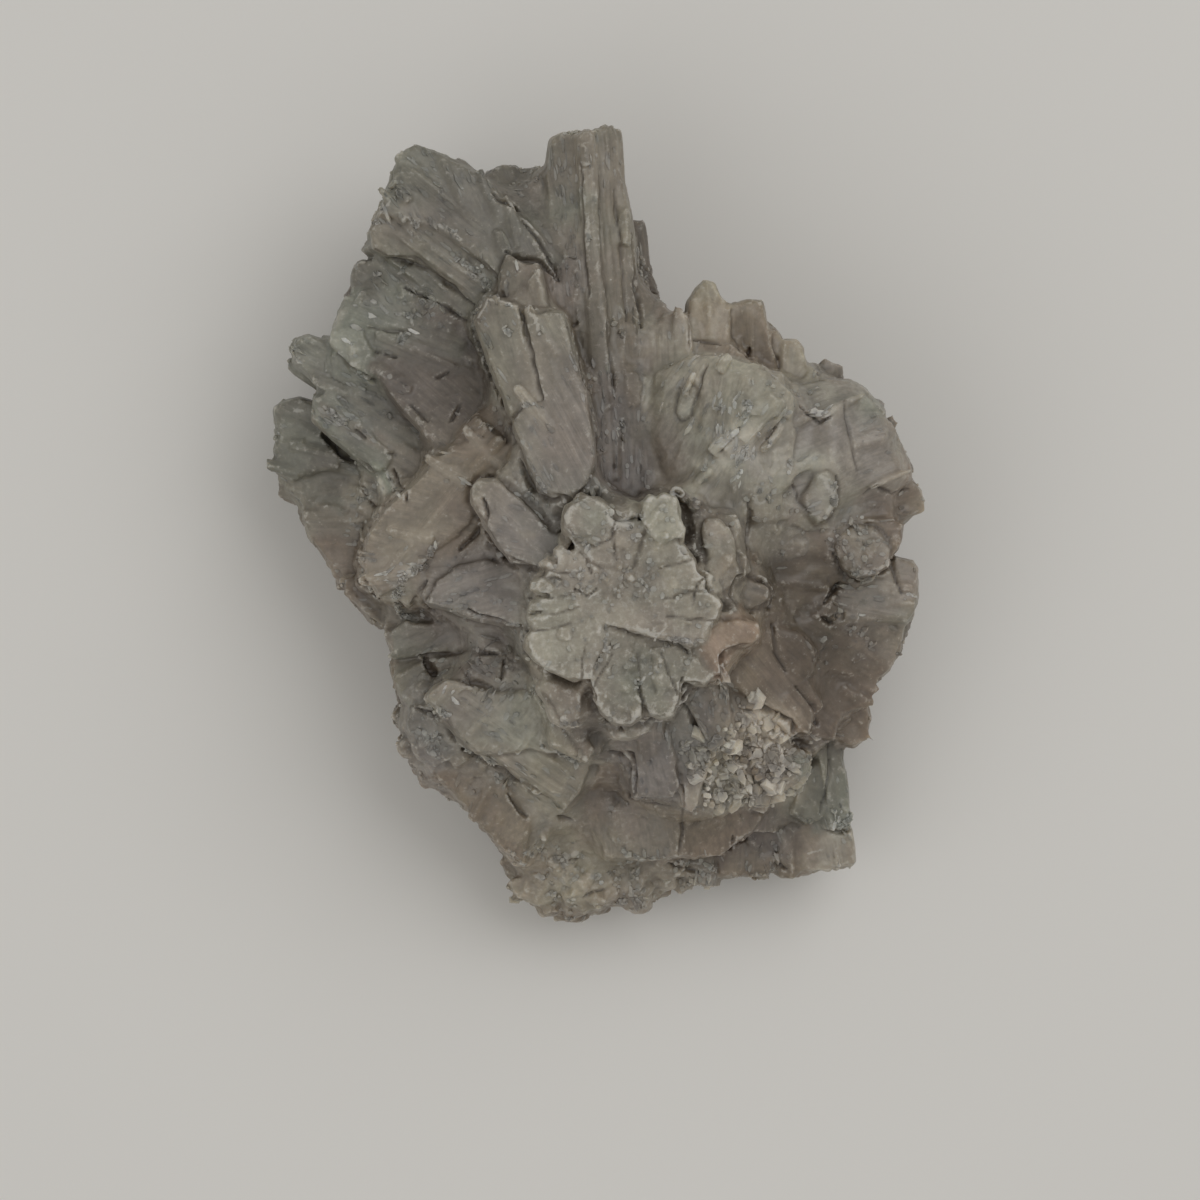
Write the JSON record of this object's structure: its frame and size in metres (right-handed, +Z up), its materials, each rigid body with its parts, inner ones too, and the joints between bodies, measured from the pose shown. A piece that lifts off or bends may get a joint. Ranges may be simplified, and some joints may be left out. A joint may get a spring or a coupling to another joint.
{
  "type": "aragonite crystal cluster",
  "caption": "Radiating cluster of twinned six-sided aragonite columns, cut off flat underneath so that it rests on its base.",
  "frame": {"origin": "middle of the footprint, on the flat cut face that the cluster rests on", "axes": "+Z up out of the cut face, +Y towards the tall column and along the longest extent, +X towards the pale domed crystals"},
  "size_m": [0.0275, 0.0335, 0.0158],
  "materials": {
    "aragonite": "translucent grey-green to violet-brown crystal, satin on the faces and frosted white on the edges"
  },
  "bodies": {
    "root": {"aragonite_cluster": "aragonite"}
  },
  "joints": []
}
